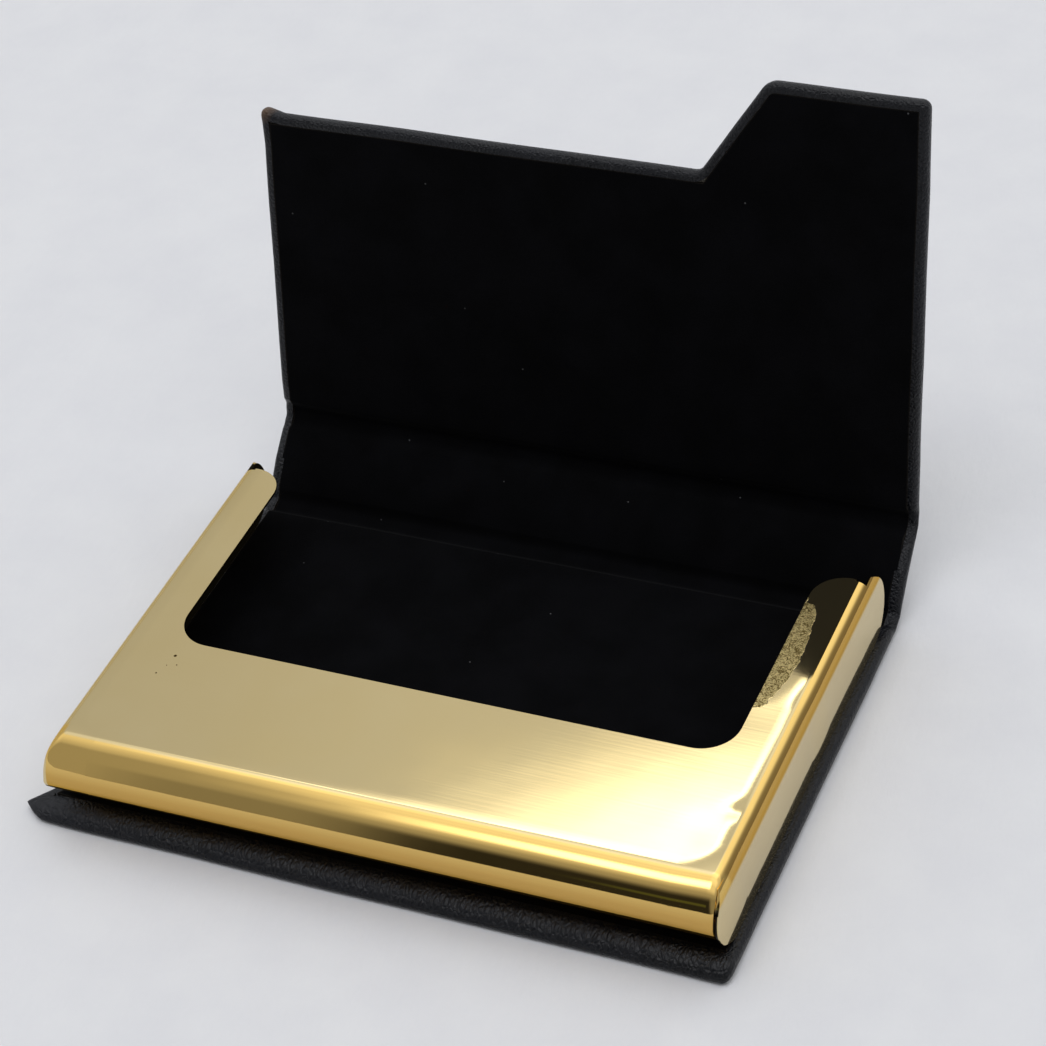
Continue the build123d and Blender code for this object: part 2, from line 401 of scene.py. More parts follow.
coverNode = frame["nodes"]["cover_skin"]
coverAngle = sum(bends)
coverStart = Vector((0, *folded(coverLine, 0)))
coverWay = Vector((0, cos(coverAngle), sin(coverAngle)))
tabLength = max((v.co - coverStart).dot(coverWay) for v in coverNode.data.vertices)
coverLength = max((v.co - coverStart).dot(coverWay) for v in coverNode.data.vertices if v.co.x < 0)
magnetLow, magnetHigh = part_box("cover_magnet")
magnetMiddle = (magnetLow + magnetHigh) / 2
magnetAlong = coverLine + (magnetMiddle - coverStart).dot(coverWay)
print("cover reaches", round(tabLength / mm, 2), round(coverLength / mm, 2))


# outline of one half of the cover, flat, with square corners
def flatHalf(name, half, inset, height):
    inset *= mm
    edge = side - inset
    if half == "lower":
        piece = addPlane((-edge, -baseDepth + inset), (edge, middleOfSpine), height, name)
    else:
        end = coverLine + coverLength - inset
        piece = addPlane((-edge, middleOfSpine), (edge, end), height, name)
        headX = side - caseSizes["tabWidth"] * mm
        footX = headX - caseSizes["tabSlant"] * mm
        rise = tabLength - coverLength
        # an inset moves the slanted side by more than itself along x
        slope = atan2(rise, caseSizes["tabSlant"] * mm)
        footX += inset * tan(slope / 2)
        headX = footX + rise / tan(slope)
        cutAt(0, [footX])
        pick("EDGE", lambda e: middleOf(e).x > footX and middleOf(e).y > end - touching)
        bpy.ops.mesh.extrude_region_move(TRANSFORM_OT_translate={"value": (0, rise, 0)})
        pick("VERT", lambda v: v.co.y > coverLine + coverLength + mm and v.co.x < headX)
        bpy.ops.transform.translate(value=(headX - footX, 0, 0))
        bpy.ops.mesh.select_all(action="SELECT")
        bpy.ops.mesh.dissolve_faces()
    return piece


# cuts the half across and along, closer together where it bends
def cutForFolding(half, step):
    margin = caseSizes["stepMargin"] * mm
    if half == "lower":
        start, end, low, high = -baseDepth + margin, 0, 0, rolls[0]
    else:
        start, end, low, high = coverLine, coverLine + tabLength - margin, coverLine - rolls[1], coverLine
    cutAt(0, evenPlaces(-side + margin, side - margin, step * mm))
    bendPlaces = evenPlaces(low, high, caseSizes["hingeStep"] * mm)[1:-1]
    cutAt(1, evenPlaces(start, end, step * mm) + bendPlaces)


# small unevenness of hand work, the same for every layer: how long its waves are and how far they go, mm
handWork = {"wave": 17, "shift": 0.14, "ripple": 5, "rippleShift": 0.04, "onwardWave": 19}


def handMade(x, along):
    place = Vector((x, along, 0))
    wave = noise.noise(place / (handWork["wave"] * mm)) * handWork["shift"] * mm
    ripple = noise.noise(place / (handWork["ripple"] * mm)) * handWork["rippleShift"] * mm
    apart = Vector((7, 3, 1))
    onward = noise.noise(place / (handWork["onwardWave"] * mm) + apart) * handWork["shift"] * mm
    return wave + ripple, onward


# keeps each point's flat place for the grain to follow and marks the cut edge, then folds the sheet
def foldSheet(piece, layer):
    piece.data.attributes.new("cutPlace", "FLOAT_VECTOR", "POINT")
    piece.data.attributes.new("nearEdge", "FLOAT", "POINT")
    # looked up only now, because adding the second one moves the first
    kept = piece.data.attributes["cutPlace"]
    cut = piece.data.attributes["nearEdge"]
    shape = bmesh.new()
    shape.from_mesh(piece.data)
    onEdge = [vert.is_boundary and abs(vert.co.y - middleOfSpine) > touching for vert in shape.verts]
    shape.free()
    for index, vertex in enumerate(piece.data.vertices):
        kept.data[index].vector = vertex.co
        cut.data[index].value = float(onEdge[index])
        x, along, inwards = layer(*vertex.co)
        vertex.co = (x, *folded(along, inwards))
    piece.data.update()


# the leather in mm: its front edge bulges, its lip swells and sinks by a share of its height and puckers
# where the hinges end at the case's sides, one corner stands out as an ear and another is worn
leatherSizes = {
    "frontReach": 2.6, "frontCrest": 0.12, "frontSpread": 2.3, "swell": 6, "swellShare": 0.045,
    "sunkShare": 0.025, "puckerReach": 3.5, "puckerHeight": 0.14, "puckersEachMm": 2.9,
}
earSizes = {"corner": (-side, -baseDepth), "reach": 4.8, "pull": (-4.2, 0.4), "thin": 0.65, "height": 0.6}
wornSizes = {
    "corner": (-side, coverLine + coverLength), "reach": 3.0, "pull": (-0.4, 0.9), "thin": -0.25,
    "height": 1.2,
}


# draws a corner out and thins it about its own height, or thickens it where thin is below 0
def pinched(x, along, inwards, sizes):
    away = Vector((x - sizes["corner"][0], along - sizes["corner"][1])).length
    share = max(0.0, 1 - away / (sizes["reach"] * mm)) ** 1.4
    x += sizes["pull"][0] * mm * share
    along += sizes["pull"][1] * mm * share
    middle = sizes["height"] * mm
    return x, along, middle + (inwards - middle) * (1 - sizes["thin"] * share)


def leatherLayer(x, along, inwards):
    groove = inHinge(along, caseSizes["lead"] * mm)
    lip = inwards / lipTop
    atFront = 1 - smoothStep(-baseDepth, -baseDepth + leatherSizes["frontReach"] * mm, along)
    atSide = smoothStep(side - leatherSizes["puckerReach"] * mm, side, abs(x))
    swell = noise.noise(Vector((x, along, 5)) / (leatherSizes["swell"] * mm))
    across, onward = handMade(x, along)
    inwards *= 1 - groove * (1 - caseSizes["lipInHinge"] * mm / lipTop)
    inwards *= 1 + leatherSizes["swellShare"] * swell - leatherSizes["sunkShare"]
    pucker = leatherSizes["puckerHeight"] * mm * sin(along / mm * leatherSizes["puckersEachMm"] + x)
    inwards += groove * atSide * lip * pucker
    inwards *= 1 + leatherSizes["frontCrest"] * atFront
    along -= leatherSizes["frontSpread"] * mm * atFront * (1 - lip ** 2)
    x, along, inwards = pinched(x, along, inwards, earSizes)
    x, along, inwards = pinched(x, along, inwards, wornSizes)
    return x + across, along + onward, max(0.0, inwards)


def leatherHalf(name, half):
    piece = flatHalf(name, half, 0, 0)
    bpy.ops.mesh.select_all(action="SELECT")
    bpy.ops.mesh.extrude_region_move(TRANSFORM_OT_translate={"value": (0, 0, lipTop)})
    bpy.ops.mesh.select_all(action="SELECT")
    bpy.ops.mesh.normals_make_consistent(inside=False)
    cutEnd = middleOfSpine

    def atCutEnd(part):
        return all(abs(v.co.y - cutEnd) < touching for v in part.verts)

    def upright(edge):
        a, b = edge.verts
        return abs(a.co.z - b.co.z) > mm and abs(a.co.y - cutEnd) > mm

    footX = side - (caseSizes["tabWidth"] + caseSizes["tabSlant"]) * mm
    footY = coverLine + coverLength

    def atFoot(edge):
        return abs(middleOf(edge).x - footX) < 0.1 * mm and abs(middleOf(edge).y - footY) < 0.1 * mm

    # corners seen flat, then the leather's turn round the board
    pick("EDGE", lambda e: upright(e) and not atFoot(e))
    bpy.ops.mesh.bevel(offset=caseSizes["cornerRadius"] * mm, segments=6, clamp_overlap=False)
    if half == "upper":
        pick("EDGE", lambda e: upright(e) and atFoot(e))
        bpy.ops.mesh.bevel(offset=caseSizes["footRadius"] * mm, segments=5, clamp_overlap=False)
    for height, radius in ((0, caseSizes["footRimRadius"]), (lipTop, caseSizes["rimRadius"])):
        pick("EDGE", lambda e: not atCutEnd(e) and all(abs(v.co.z - height) < touching for v in e.verts))
        bpy.ops.mesh.bevel(offset=radius * mm, segments=5, clamp_overlap=False)
    pick("FACE", atCutEnd)
    bpy.ops.mesh.delete(type="FACE")
    # the turned-in lip: inset almost to the corners' centres, merged there, and on to its cut edge
    pick("FACE", lambda f: f.normal.z > 0.99 and len(f.verts) > 8)
    almost = 0.95
    firstInset = (caseSizes["cornerRadius"] - caseSizes["rimRadius"]) * mm * almost
    rest = (caseSizes["turnIn"][half] - caseSizes["rimRadius"]) * mm - firstInset
    bpy.ops.mesh.inset(thickness=firstInset, use_boundary=False)
    bpy.ops.mesh.remove_doubles(threshold=0.05 * mm)
    bpy.ops.mesh.inset(thickness=rest, use_boundary=False)
    bpy.ops.mesh.delete(type="FACE")
    cutForFolding(half, caseSizes["leatherStep"])
    leaveEditMode()
    foldSheet(piece, leatherLayer)
    applyModifier(piece, "SOLIDIFY", thickness=caseSizes["leather"] * mm, offset=-1, use_even_offset=False)
    smoothShading(piece, 50)
    return piece


# the velvet swells a little, and the magnet shows through as a faint ring round a low rise, in mm
velvetSizes = {"swell": 13, "swellHeight": 0.04}
impression = {
    "radius": 4.5, "line": 0.35, "depth": 0.07, "rise": 0.05, "riseEnd": (3.6, 4.6),
    "reach": 5.5, "step": 0.4,
}


def liningLayer(x, along, inwards):
    across, onward = handMade(x, along)
    groove = inHinge(along)
    inwards = liningTop + (caseSizes["liningInHinge"] * mm - liningTop) * groove
    swell = noise.noise(Vector((x, along, 9)) / (velvetSizes["swell"] * mm))
    inwards += swell * velvetSizes["swellHeight"] * mm
    away = Vector((x - magnetMiddle.x, along - magnetAlong)).length / mm
    ring = max(0.0, 1 - abs(away - impression["radius"]) / impression["line"])
    rise = 1 - smoothStep(*impression["riseEnd"], away)
    inwards += (impression["rise"] * rise - impression["depth"] * ring) * mm
    x, along = pinched(x, along, inwards, earSizes)[:2]
    return x + across, along + onward, inwards


def liningHalf(name, half):
    piece = flatHalf(name, half, caseSizes["turnIn"][half] + caseSizes["liningGap"], liningTop)
    bpy.ops.mesh.select_all(action="SELECT")
    bpy.ops.mesh.inset(thickness=caseSizes["edgeStrip"] * mm)
    cutForFolding(half, caseSizes["liningStep"])
    if half == "upper":
        reach = impression["reach"] * mm
        for axis, middle in ((0, magnetMiddle.x), (1, magnetAlong)):
            cutAt(axis, evenPlaces(middle - reach, middle + reach, impression["step"] * mm))
    leaveEditMode()
    foldSheet(piece, liningLayer)
    applyModifier(piece, "SOLIDIFY", thickness=caseSizes["lining"] * mm, offset=-1, use_even_offset=False)
    smoothShading(piece, 50)
    return piece


# sizes of the patterns and depth of the relief, in mm
leatherLook = {
    "cell": 0.6, "warp": 0.4, "pore": 0.2, "relief": 0.08, "cloud": 9, "speck": 0.35, "rubbed": (2.3, 1.2),
    "dye": ("06070B", "0C0E15"), "dust": "545A68", "backing": "7A5F48", "cutEdge": "2B251F",
}
velvetLook = {
    "pile": 0.25, "brushed": 7, "lint": 6, "relief": 0.08,
    "black": ("060607", "0A0A0C"), "fluff": "8C8C8C", "backing": "2C2823",
}


def leatherMaterial():
    # polyurethane leather, embossed with a fine grain and dyed blue-black: satin, with pale specks in the
    # grain that are partly dust and partly painted glints, and a raw brownish backing where it is cut or
    # rubbed through
    material, add = newMaterial("embossed_pu_leather")
    place = add("Attribute", attribute_name="cutPlace").outputs["Vector"]
    cut = add("Attribute", attribute_name="nearEdge").outputs["Fac"]
    warp = add("TexNoise", {"Vector": place, "Scale": 0.9 / mm, "Detail": 2})
    shift = add("VectorMath", {
        0: warp.outputs["Color"], 1: [leatherLook["warp"] * mm] * 3,
    }, operation="MULTIPLY")
    moved = add("VectorMath", {0: place, 1: shift.outputs[0]}, operation="ADD")
    cells = add("TexVoronoi", {
        "Vector": moved.outputs[0], "Scale": 1 / (leatherLook["cell"] * mm),
    }, feature="DISTANCE_TO_EDGE")
    pebbles = add("ValToRGB", {"Fac": cells.outputs["Distance"]}, stops=[(0, 0), (0.35, 1)])
    pores = add("TexNoise", {"Vector": place, "Scale": 1 / (leatherLook["pore"] * mm), "Detail": 5})
    height = add("Math", {0: pebbles.outputs[0], 1: pores.outputs["Fac"]}, operation="ADD")
    bump = add("Bump", {"Height": height.outputs[0], "Distance": leatherLook["relief"] * mm})
    clouds = add("TexNoise", {"Vector": place, "Scale": 1 / (leatherLook["cloud"] * mm), "Detail": 3})
    dye = add("ValToRGB", {"Fac": clouds.outputs["Fac"]}, stops=zip((0.3, 0.7), leatherLook["dye"]))
    specks = add("TexNoise", {
        "Vector": place, "Scale": 1 / (leatherLook["speck"] * mm), "Detail": 6, "Roughness": 0.75,
    })
    # pale specks, partly dust and partly painted glints on the grain
    dust = add("ValToRGB", {"Fac": specks.outputs["Fac"]}, stops=[(0.66, 0), (0.75, 1)])
    # rubbed through at the cover's corner, raw along the cut edge
    away = add("VectorMath", {
        0: place, 1: (wornSizes["corner"][0], wornSizes["corner"][1], lipTop / 2),
    }, operation="DISTANCE")
    near = add("MapRange", {
        "Value": away.outputs["Value"], "From Min": leatherLook["rubbed"][0] * mm,
        "From Max": leatherLook["rubbed"][1] * mm,
    })
    rubbed = add("Math", {0: near.outputs[0], 1: specks.outputs["Fac"]}, operation="MULTIPLY")
    raw = add("MapRange", {"Value": cut, "From Min": 0.75, "From Max": 0.95, "To Max": 0.7})
    colour = dye.outputs[0]
    for cover, shade in ((dust, "dust"), (rubbed, "backing"), (raw, "cutEdge")):
        colour = add("Mix", {
            "Factor": cover.outputs[0], "A": colour, "B": leatherLook[shade],
        }, data_type="RGBA").outputs["Result"]
    rough = add("ValToRGB", {"Fac": clouds.outputs["Fac"]}, stops=[(0.3, 0.36), (0.7, 0.46)])
    return finishMaterial(material, {
        "Base Color": colour, "Roughness": rough.outputs[0], "IOR": 1.38, "Normal": bump.outputs[0],
    })


def velvetMaterial():
    # flocked velvet: upright black pile that swallows light, its cut edge shows the browner backing
    material, add = newMaterial("flocked_velvet")
    place = add("Attribute", attribute_name="cutPlace").outputs["Vector"]
    cut = add("Attribute", attribute_name="nearEdge").outputs["Fac"]
    pile = add("TexNoise", {"Vector": place, "Scale": 1 / (velvetLook["pile"] * mm), "Detail": 4})
    brushed = add("TexNoise", {"Vector": place, "Scale": 1 / (velvetLook["brushed"] * mm), "Detail": 3})
    black = add("ValToRGB", {"Fac": brushed.outputs["Fac"]}, stops=zip((0.35, 0.65), velvetLook["black"]))
    lint = add("TexVoronoi", {"Vector": place, "Scale": 1 / (velvetLook["lint"] * mm)})
    fluff = add("ValToRGB", {"Fac": lint.outputs["Distance"]}, stops=[(0, 0.5), (0.025, 0)])
    frayed = add("Math", {0: cut, 1: pile.outputs["Fac"]}, operation="MULTIPLY")
    colour = black.outputs[0]
    for cover, shade in ((fluff, "fluff"), (frayed, "backing")):
        colour = add("Mix", {
            "Factor": cover.outputs[0], "A": colour, "B": velvetLook[shade],
        }, data_type="RGBA").outputs["Result"]
    bump = add("Bump", {
        "Height": pile.outputs["Fac"], "Distance": velvetLook["relief"] * mm, "Strength": 0.7,
    })
    return finishMaterial(material, {
        "Base Color": colour,
        "Roughness": 1.0,
        "Specular IOR Level": 0.05,
        "Sheen Weight": 0.02,
        "Sheen Roughness": 0.4,
        "Normal": bump.outputs[0],
    })


leather = leatherMaterial()
velvet = velvetMaterial()
halves = {
    "lower": ("base", "spine", ("base", "spine", "lower_hinge")),
    "upper": ("spine", "cover", ("cover", "upper_hinge")),
}


# each half is made already folded over its own hinge
def makeHalves():
    hingeEnds = {"lower": (0, rolls[0]), "upper": (coverLine - rolls[1], coverLine)}
    for half, (first, second, stems) in halves.items():
        start, end = [Vector((0, *folded(along, axisLow.z))) for along in hingeEnds[half]]
        for layer, make, material, slot in (
            ("skin", leatherHalf, leather, "black_leather"), ("lining", liningHalf, velvet, "black_velvet"),
        ):
            piece = make(f"{half}_half_{layer}", half)
            giveMaterial(piece, material)
            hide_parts(*[f"{stem}_{layer}" for stem in stems])
            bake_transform(piece)
            print(piece.name, len(piece.data.polygons), "faces")


makeHalves()

# The tray is one bent sheet of steel, in mm. Two values are shares: leftWallSink draws the left wall's
# front end towards the height of the roll's middle, and flattened presses the lower half of the roll and
# of the walls' front ends.
traySizes = {
    "sheet": 0.4, "frontPlate": 23.6, "armWidth": 6.9, "armSetback": 4.4, "armEndFlat": 0.5,
    "windowRadius": 5.0, "sideBend": 2.0, "bendRelief": 1.0, "endRelief": 0.3, "flangeMargin": 1.5,
    "edgeBevel": 0.06, "wallLean": 0.12, "wallRound": 0.9999, "rollEnd": (46.0, 45.55),
    "leftWallSetback": 2.4, "leftWallSink": 0.1, "near": 0.002, "merge": 0.02,
    "flattened": {"middle": 0.22, "each mm": -0.0024, "fade": 0.6},
}
trayLow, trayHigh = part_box("card_tray")
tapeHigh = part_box("tray_tape")[1]
bendSteps = 12
rollSteps = 48
sideBend = traySizes["sideBend"] * mm
plateX = trayHigh.x - sideBend
bendZ = trayHigh.z - sideBend
rollRadius = (trayHigh.z - tapeHigh.z) / 2
rollY = trayLow.y + rollRadius
rollZ = trayHigh.z - rollRadius
rollX = plateX + sideBend * sin(pi / 4)
shoulderTop = bendZ + sideBend * cos(pi / 4)
armEnd = trayHigh.y - traySizes["armSetback"] * mm
bendStart = rollY + traySizes["bendRelief"] * mm
bendEnd = armEnd - traySizes["endRelief"] * mm


# top plate with its window; its front strip is wider, for the roll
def trayPlate():
    windowX = trayHigh.x - traySizes["armWidth"] * mm
    windowY = trayLow.y + traySizes["frontPlate"] * mm
    addPlane((-rollX, rollY), (rollX, armEnd), trayHigh.z, "folded_tray")
    cutAt(0, [-plateX, -windowX, windowX, plateX])
    cutAt(1, [bendStart, windowY])

    def isOpen(face):
        x, y, z = face.calc_center_median()
        return (abs(x) < windowX and y > windowY) or (abs(x) > plateX and y > bendStart)

    pick("FACE", isOpen)
    bpy.ops.mesh.delete(type="FACE")
    bpy.ops.mesh.select_all(action="SELECT")
    bpy.ops.mesh.dissolve_faces()
    armRadius = (traySizes["armWidth"] - traySizes["armEndFlat"]) * mm - sideBend
    for y, radius in ((windowY, traySizes["windowRadius"] * mm), (armEnd, armRadius)):
        pick("VERT", lambda v: abs(abs(v.co.x) - windowX) < touching and abs(v.co.y - y) < touching)
        bpy.ops.mesh.bevel(offset=radius, segments=16, affect="VERTICES", clamp_overlap=False)


# side wall, rounded at both ends
def trayWall(x):
    middle = (x, (trayLow.y + trayHigh.y) / 2, (trayLow.z + trayHigh.z) / 2)
    bpy.ops.mesh.primitive_plane_add(size=1, location=middle, rotation=(0, pi / 2, 0))
    bpy.ops.transform.resize(
        value=(1, trayHigh.y - trayLow.y, trayHigh.z - trayLow.z), center_override=middle
    )
    pick("VERT", lambda v: abs(v.co.x - x) < touching)
    # a touch less than half the height, so that the two rounds don't meet
    endRadius = (trayHigh.z - trayLow.z) / 2 * traySizes["wallRound"]
    bpy.ops.mesh.bevel(offset=endRadius, segments=18, affect="VERTICES", clamp_overlap=False)
    pick("VERT", lambda v: abs(v.co.x - x) < touching)
    bpy.ops.mesh.bisect(
        plane_co=(0, 0, shoulderTop), plane_no=(0, 0, 1), threshold=traySizes["near"] * mm, clear_outer=True
    )


def trayShape():
    trayPlate()
    for x in (-trayHigh.x, trayHigh.x):
        trayWall(x)
    # cuts in the shoulders stand where the bends' own steps come
    steps = [sideBend * sin(pi / 2 * i / bendSteps) for i in range(1, bendSteps // 2)]
    near = traySizes["near"] * mm
    cutAt(0, [way * (plateX + step) for way in (-1, 1) for step in steps], near)
    cutAt(1, [rollY, bendStart, bendEnd], near)
    cutAt(2, [bendZ] + [bendZ + step for step in steps], near)

    def aboveBend(face):
        x, y, z = face.calc_center_median()
        return abs(x) > rollX and z > bendZ and bendStart < y < bendEnd

    pick("FACE", aboveBend)
    bpy.ops.mesh.delete(type="FACE")
    # bends from the plate down to the walls
    for way in (-1, 1):
        pick("EDGE", lambda e: (
            abs(middleOf(e).x - way * plateX) < touching and bendStart < middleOf(e).y < bendEnd
        ))
        bpy.ops.mesh.spin(
            steps=bendSteps, angle=-way * pi / 2, center=(way * plateX, 0, bendZ), axis=(0, 1, 0),
            use_normal_flip=False,
        )
    # front roll, and the flange that lies on the tape
    pick("EDGE", lambda e: abs(middleOf(e).y - rollY) < touching and middleOf(e).z > trayHigh.z - touching)
    bpy.ops.mesh.spin(steps=rollSteps, angle=-pi, center=(0, rollY, rollZ), axis=(1, 0, 0))
    near = 10 * touching
    pick("EDGE", lambda e: abs(middleOf(e).y - rollY) < near and middleOf(e).z < tapeHigh.z + near)
    flange = tapeHigh.y + traySizes["flangeMargin"] * mm - rollY
    bpy.ops.mesh.extrude_region_move(TRANSFORM_OT_translate={"value": (0, flange, 0)})
    leaveEditMode()
    return bpy.context.object


# how far the side bend falls below the plate's level at a place out from it
def bendDrop(out):
    return sideBend - sqrt(max(0.0, sideBend ** 2 - min(out, sideBend) ** 2))


# how far the roll stands to the back, or to the front where it is below 0, in mm; this fades out over a
# stretch behind the roll and sets in over a stretch up from the flange
rollShift = {"middle": -0.25, "each mm": 0.0095, "back": 9, "up": 2}


# the shoulders where bends, roll and walls meet, the roll a little askew, the walls leaning out at the foot
def settled(x, y, z):
    way = 1 if x > 0 else -1
    wall = abs(x) > trayHigh.x - touching
    shift = (rollShift["middle"] + rollShift["each mm"] * x / mm) * mm
    shift *= (
        (1 - smoothStep(rollY, rollY + rollShift["back"] * mm, y))
        * smoothStep(tapeHigh.z, tapeHigh.z + rollShift["up"] * mm, z)
    )
    if wall and z > bendZ:
        x -= way * bendDrop(z - bendZ)
    elif wall:
        x += way * traySizes["wallLean"] * mm * (bendZ - z) / (bendZ - trayLow.z)
    elif abs(x) > plateX and z > (rollZ if y < rollY - touching else trayHigh.z) - touching:
        around = atan2(max(0.0, rollY - y), z - rollZ)
        drop = bendDrop(abs(x) - plateX) * max(0.0, cos(around)) ** 0.5
        y += drop * sin(around)
        z -= drop * cos(around)
    if not wall and y < rollY:
        inset = 1 - (traySizes["rollEnd"][way > 0] * mm - plateX) / (rollX - plateX)
        x -= way * max(0.0, abs(x) - plateX) * inset * smoothStep(0, rollRadius, rollY - y)
    if wall and way < 0 and y < rollY:
        y += (rollY - y) / rollRadius * traySizes["leftWallSetback"] * mm
        z -= (z - rollZ) * traySizes["leftWallSink"] * smoothStep(0, rollRadius / 2, rollY - y)
    # the roll and the walls' front ends are pressed flatter below, most at the left
    pressed = traySizes["flattened"]["middle"] + traySizes["flattened"]["each mm"] * x / mm
    fade = rollRadius * traySizes["flattened"]["fade"]
    z += max(0.0, rollZ - z) * pressed * smoothStep(0, fade, rollY - y)
    return x, y + shift, z


def settleSheet(tray):
    for vertex in tray.data.vertices:
        vertex.co = settled(*vertex.co)
    tray.data.update()
    choose(tray)
    bpy.ops.object.mode_set(mode="EDIT")
    bpy.ops.mesh.select_all(action="SELECT")
    bpy.ops.mesh.remove_doubles(threshold=traySizes["merge"] * mm)
    bpy.ops.mesh.normals_make_consistent(inside=False)
    # faces that turn by less than a third of a degree stay one face
    bpy.ops.mesh.dissolve_limited(angle_limit=radians(0.3))
    bpy.ops.mesh.delete_loose()
    leaveEditMode()
    plate = [face for face in tray.data.polygons if face.center.z > trayHigh.z - 10 * touching]
    if sum(face.area * face.normal.z for face in plate) < 0:
        tray.data.flip_normals()


# marks on the plate, in mm: the dip and crease towards its bends, the lifted and twisted right arm, dents
# that bend its reflections, pits through the coating, and the grainy residue of a torn film on the right arm
crease = {
    "x": 44.0, "y": trayLow.y / mm + 4.65, "each mm": 0.0095, "round": 3.0, "width": 1.4,
    "tilt": {"front": 0.012, "side": 0.045},
}
armTwist = {"x": 42.0, "from": 2.0, "to": 9.0, "slope": 0.045, "liftFrom": -2.0, "lift": 0.0006}
dents = [((43.6, -16.1), 1.5, 0.035), ((40.6, -20.5), 3.0, 0.012)]
pits = [((-36.92, -10.47), 0.22), ((-37.87, -14.09), 0.13), ((-37.2, -12.4), 0.08), ((-35.9, -12.0), 0.1)]
residue = {
    "place": (39.1, 11.5), "half": (2.9, 10.5), "grain": 0.35, "tear": 1.6, "ragged": 0.35,
    "rim": (1.175, 1.145), "relief": 0.06, "rough": 0.32, "colours": ("6E5C30", "D6C288"),
}
# the bends' deeper brown is partly the coating's own colour and partly painted shade; the near black for the
# gap at the roll's right end is painted shade
goldLook = {
    "brushLength": 22, "brushSpacing": 0.3, "brushRelief": 0.0009, "swell": 8, "swellRelief": 0.006,
    "film": 14, "hazed": ("DCC896", "D8C38F"), "drawn": "E7C272", "stretched": "D0A75C",
    "grazing": "E2CFA4", "slit": "1A150E", "pit": "3A2C12", "pitRim": (1.3, 0.7), "pitRough": 0.5,
    "polish": (0.04, 0.075),
}

# where the surface changes: along x, y, z or out from the middle, from where it starts to where it is full
plateEnd, outside, bendTop, rollBack, rollMiddle, top = [
    place / mm for place in (plateX, trayHigh.x, bendZ, rollY, rollZ, trayHigh.z)
]
surfaces = {
    "plate": [("Z", top - 0.06, top - 0.01)],
    "wall": [("out", outside - 0.5, outside - 0.4), ("Z", bendTop + 0.4, bendTop - 0.6)],
    "left bend": [("X", -plateEnd, -plateEnd - 0.2), ("Y", rollBack, rollBack + 1)],
    # the outer bend takes a deeper brown, partly the coating's own colour and partly painted shade
    "outer bend": [
        ("out", plateEnd + 0.9, plateEnd + 1.5), ("Z", bendTop - 0.4, bendTop + 0.2),
        ("Y", rollBack, rollBack + 1),
    ],
    # painted shade on the roll's underside, in place of the dark reflection there
    "low front": [("Z", rollMiddle + 2.6, rollMiddle + 0.6), ("Y", rollBack - 1, rollBack - 2)],
    # painted shade: near black in the gap between the roll's right end and the wall
    "slit": [
        ("X", outside - 0.7, outside - 0.6), ("X", outside - 0.03, outside - 0.15),
        ("Y", rollBack - 0.8, rollBack - 1.6), ("Z", bendTop, bendTop - 0.8),
    ],
    "right side": [("X", 0, 1)],
    "twisted arm": [("Y", armTwist["from"], armTwist["to"]), ("X", 0, 1)],
}


